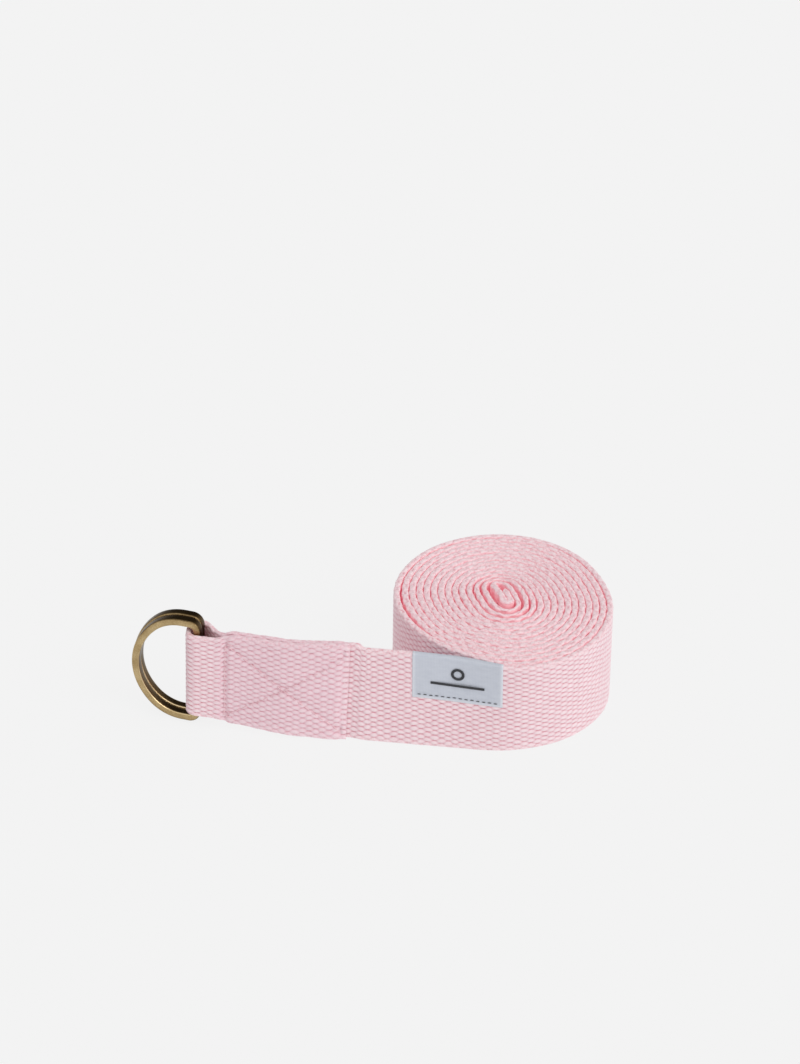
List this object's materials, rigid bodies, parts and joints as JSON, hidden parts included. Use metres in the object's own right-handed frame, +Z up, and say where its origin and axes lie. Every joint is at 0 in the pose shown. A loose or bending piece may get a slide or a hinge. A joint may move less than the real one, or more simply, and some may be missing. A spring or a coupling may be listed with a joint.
{
  "type": "stretching strap",
  "caption": "Flat cotton webbing strap stored as a roll on its edge, with a free end that carries paired D-rings for making an adjustable loop.",
  "frame": {"origin": "middle of the roll's core, on the surface that the strap stands on", "axes": "+Z up across the webbing's width; the free end with the rings runs along -X from the front (-Y side) of the roll"},
  "size_m": [0.1674, 0.0832, 0.0436],
  "materials": {
    "webbing": "thick plain-woven cotton webbing, matte",
    "seam_thread": "tone-on-tone sewing thread",
    "label_cloth": "woven satin label",
    "label_thread": "dark grey sewing thread",
    "antique_brass": "antique brass plating, darkened and worn bright on the edges"
  },
  "bodies": {
    "roll": {"strap_roll": "webbing", "strap_run": "webbing", "label": "label_cloth", "label_stitches": "label_thread", "hem_stitches": "seam_thread"},
    "ring_end": {"back_layer": "webbing", "ring_loop": "webbing", "fold_over_layer": "webbing", "front_box_stitches": "seam_thread", "front_cross_stitches": "seam_thread", "back_box_stitches": "seam_thread", "back_cross_stitches": "seam_thread"},
    "ring_front": {"ring_front": "antique_brass"},
    "ring_back": {"ring_back": "antique_brass"}
  },
  "joints": [
    {"name": "ring_end_bend", "type": "hinge", "parent": "roll", "child": "ring_end", "pos_m": [-0.04259, -0.0404, 0], "axis": [0, 0, 1], "range_deg": [-60, 60]},
    {"name": "ring_front_swing", "type": "hinge", "parent": "ring_end", "child": "ring_front", "pos_m": [-0.1031, -0.03723, 0.02165], "axis": [0.0435, 0, 0.9991], "range_deg": [0, 150]},
    {"name": "ring_back_swing", "type": "hinge", "parent": "ring_end", "child": "ring_back", "pos_m": [-0.1031, -0.03343, 0.02165], "axis": [0.0435, 0, 0.9991], "range_deg": [-143, 0]}
  ]
}
